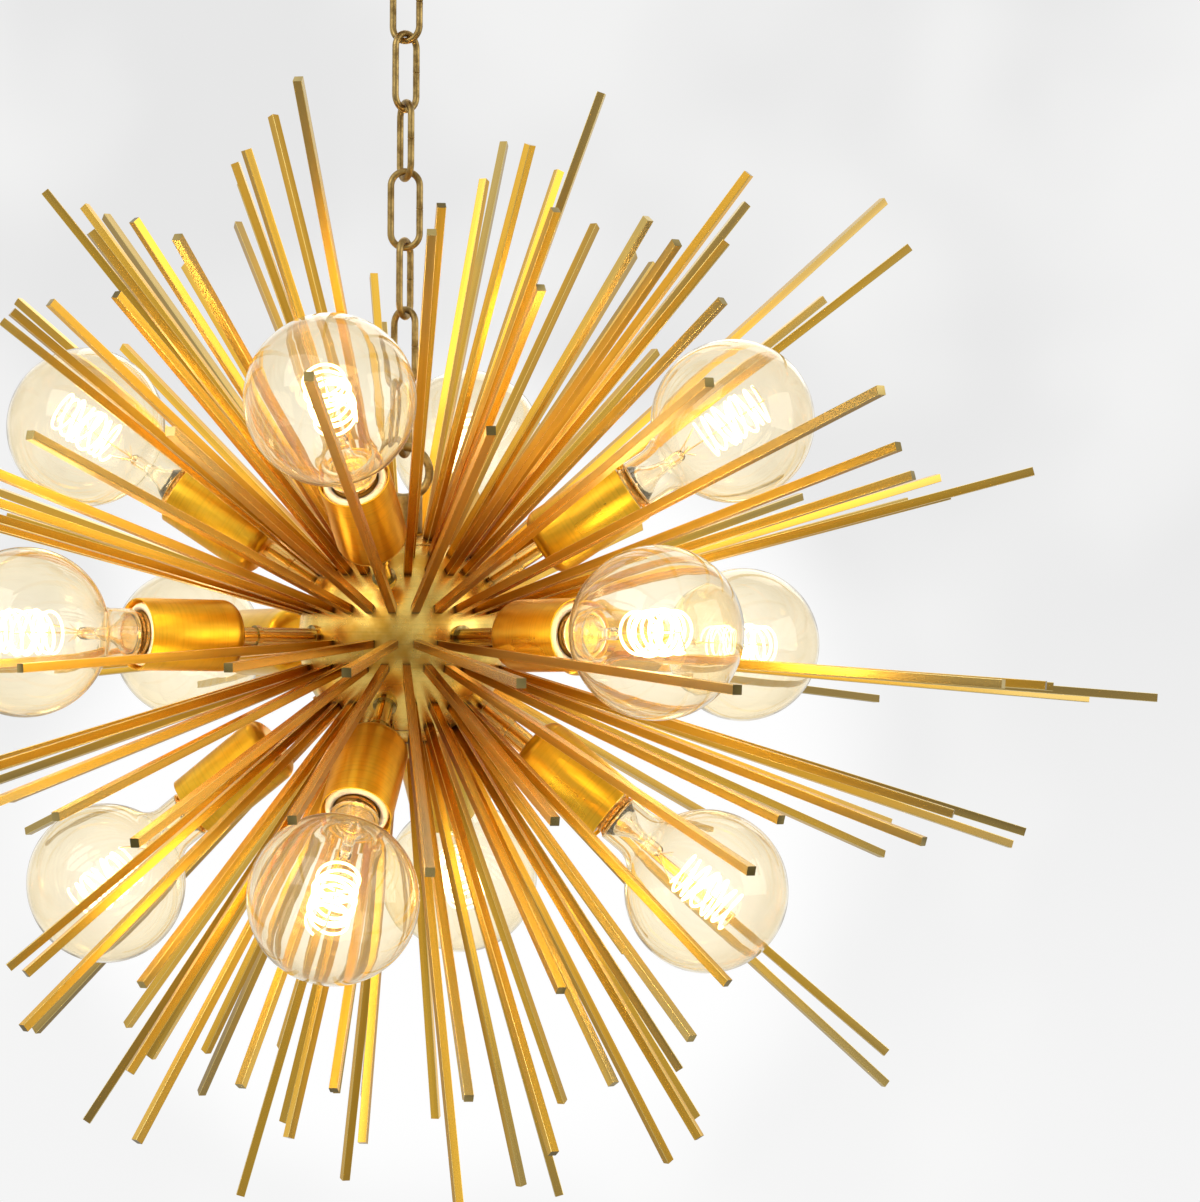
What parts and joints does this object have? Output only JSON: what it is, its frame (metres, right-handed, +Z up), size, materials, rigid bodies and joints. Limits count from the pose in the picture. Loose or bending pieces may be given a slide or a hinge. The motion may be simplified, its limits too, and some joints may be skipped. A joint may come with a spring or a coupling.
{
  "type": "sputnik chandelier",
  "caption": "Chandelier with a small ball on an oval-link chain, square bars radiating from it all round and clear globe bulbs in cups among the bars.",
  "frame": {"origin": "centre of the canopy's ceiling face", "axes": "+Z up out of the ceiling face, the lamp hangs below; -Y is the front that the picture shows, +X to its right"},
  "size_m": [0.9125, 0.7981, 0.7892],
  "materials": {
    "canopy_brass": "satin",
    "chain_brass": "satin",
    "ball_brass": "satin",
    "bar_brass": "satin",
    "cup_brass": "satin",
    "cap_brass": "polished",
    "steel": "satin",
    "porcelain": "glazed",
    "bulb_glass": "clear"
  },
  "bodies": {
    "canopy": {"canopy_dish": "canopy_brass", "canopy_crossbar": "steel", "canopy_screws": "canopy_brass", "canopy_loop": "chain_brass", "canopy_locknut": "steel"},
    "chain_link_1": {"chain_link_1": "chain_brass"},
    "chain_link_2": {"chain_link_2": "chain_brass"},
    "chain_link_3": {"chain_link_3": "chain_brass"},
    "chain_link_4": {"chain_link_4": "chain_brass"},
    "chain_link_5": {"chain_link_5": "chain_brass"},
    "chain_link_6": {"chain_link_6": "chain_brass"},
    "chain_link_7": {"chain_link_7": "chain_brass"},
    "chandelier": {"ball_loop": "chain_brass", "ball_shell": "ball_brass", "ball_caps": "ball_brass", "centre_rod": "steel", "rod_locknuts": "steel", "bottom_finial": "ball_brass", "bars_equator": "bar_brass", "bars_upper_1": "bar_brass", "bars_upper_2": "bar_brass", "bars_upper_3": "bar_brass", "bars_upper_4": "bar_brass", "bars_lower_1": "bar_brass", "bars_lower_2": "bar_brass", "bars_lower_3": "bar_brass", "bars_lower_4": "bar_brass", "socket_stems_upper": "cup_brass", "socket_cups_upper": "cup_brass", "lampholders_upper": "porcelain", "socket_stems_middle": "cup_brass", "socket_cups_middle": "cup_brass", "lampholders_middle": "porcelain", "socket_stems_lower": "cup_brass", "socket_cups_lower": "cup_brass", "lampholders_lower": "porcelain"},
    "bulb_upper_1": {"bulb_upper_1_glass": "bulb_glass", "bulb_upper_1_base": "cap_brass"},
    "bulb_upper_2": {"bulb_upper_2_glass": "bulb_glass", "bulb_upper_2_base": "cap_brass"},
    "bulb_upper_3": {"bulb_upper_3_glass": "bulb_glass", "bulb_upper_3_base": "cap_brass"},
    "bulb_upper_4": {"bulb_upper_4_glass": "bulb_glass", "bulb_upper_4_base": "cap_brass"},
    "bulb_middle_1": {"bulb_middle_1_glass": "bulb_glass", "bulb_middle_1_base": "cap_brass"},
    "bulb_middle_2": {"bulb_middle_2_glass": "bulb_glass", "bulb_middle_2_base": "cap_brass"},
    "bulb_middle_3": {"bulb_middle_3_glass": "bulb_glass", "bulb_middle_3_base": "cap_brass"},
    "bulb_middle_4": {"bulb_middle_4_glass": "bulb_glass", "bulb_middle_4_base": "cap_brass"},
    "bulb_lower_1": {"bulb_lower_1_glass": "bulb_glass", "bulb_lower_1_base": "cap_brass"},
    "bulb_lower_2": {"bulb_lower_2_glass": "bulb_glass", "bulb_lower_2_base": "cap_brass"},
    "bulb_lower_3": {"bulb_lower_3_glass": "bulb_glass", "bulb_lower_3_base": "cap_brass"},
    "bulb_lower_4": {"bulb_lower_4_glass": "bulb_glass", "bulb_lower_4_base": "cap_brass"}
  },
  "joints": [
    {"name": "chain_link_1_swing", "type": "hinge", "parent": "canopy", "child": "chain_link_1", "pos_m": [0, 0, -0.06875], "axis": [0.7071, 0.7071, 0], "range_deg": [-6, 6]},
    {"name": "chain_link_2_swing", "type": "hinge", "parent": "chain_link_1", "child": "chain_link_2", "pos_m": [0, 0, -0.109], "axis": [0.9135, -0.4067, 0], "range_deg": [-6, 6]},
    {"name": "chain_link_3_swing", "type": "hinge", "parent": "chain_link_2", "child": "chain_link_3", "pos_m": [0, 0, -0.14975], "axis": [0.7193, 0.6947, 0], "range_deg": [-6, 6]},
    {"name": "chain_link_4_swing", "type": "hinge", "parent": "chain_link_3", "child": "chain_link_4", "pos_m": [0, 0, -0.1905], "axis": [-0.3746, 0.9272, 0], "range_deg": [-6, 6]},
    {"name": "chain_link_5_swing", "type": "hinge", "parent": "chain_link_4", "child": "chain_link_5", "pos_m": [0, 0, -0.23125], "axis": [1, 0, 0], "range_deg": [-6, 6]},
    {"name": "chain_link_6_swing", "type": "hinge", "parent": "chain_link_5", "child": "chain_link_6", "pos_m": [0, 0, -0.272], "axis": [0.3746, 0.9272, 0], "range_deg": [-6, 6]},
    {"name": "chain_link_7_swing", "type": "hinge", "parent": "chain_link_6", "child": "chain_link_7", "pos_m": [0, 0, -0.31275], "axis": [-0.7193, 0.6947, 0], "range_deg": [-6, 6]},
    {"name": "chandelier_swing", "type": "hinge", "parent": "chain_link_7", "child": "chandelier", "pos_m": [0, 0, -0.3535], "axis": [0.342, 0.9397, 0], "range_deg": [-6, 6]},
    {"name": "bulb_upper_1_out", "type": "slide", "parent": "chandelier", "child": "bulb_upper_1", "axis": [-0.1744, -0.8203, 0.5446], "range_m": [0, 0.03]},
    {"name": "bulb_upper_2_out", "type": "slide", "parent": "chandelier", "child": "bulb_upper_2", "axis": [0.8203, -0.1744, 0.5446], "range_m": [0, 0.03]},
    {"name": "bulb_upper_3_out", "type": "slide", "parent": "chandelier", "child": "bulb_upper_3", "axis": [0.1744, 0.8203, 0.5446], "range_m": [0, 0.03]},
    {"name": "bulb_upper_4_out", "type": "slide", "parent": "chandelier", "child": "bulb_upper_4", "axis": [-0.8203, 0.1744, 0.5446], "range_m": [0, 0.03]},
    {"name": "bulb_middle_1_out", "type": "slide", "parent": "chandelier", "child": "bulb_middle_1", "axis": [0.5446, -0.8387, 0], "range_m": [0, 0.03]},
    {"name": "bulb_middle_2_out", "type": "slide", "parent": "chandelier", "child": "bulb_middle_2", "axis": [0.8387, 0.5446, 0], "range_m": [0, 0.03]},
    {"name": "bulb_middle_3_out", "type": "slide", "parent": "chandelier", "child": "bulb_middle_3", "axis": [-0.5446, 0.8387, 0], "range_m": [0, 0.03]},
    {"name": "bulb_middle_4_out", "type": "slide", "parent": "chandelier", "child": "bulb_middle_4", "axis": [-0.8387, -0.5446, 0], "range_m": [0, 0.03]},
    {"name": "bulb_lower_1_out", "type": "slide", "parent": "chandelier", "child": "bulb_lower_1", "axis": [-0.1616, -0.7602, -0.6293], "range_m": [0, 0.03]},
    {"name": "bulb_lower_2_out", "type": "slide", "parent": "chandelier", "child": "bulb_lower_2", "axis": [0.7602, -0.1616, -0.6293], "range_m": [0, 0.03]},
    {"name": "bulb_lower_3_out", "type": "slide", "parent": "chandelier", "child": "bulb_lower_3", "axis": [0.1616, 0.7602, -0.6293], "range_m": [0, 0.03]},
    {"name": "bulb_lower_4_out", "type": "slide", "parent": "chandelier", "child": "bulb_lower_4", "axis": [-0.7602, 0.1616, -0.6293], "range_m": [0, 0.03]}
  ]
}
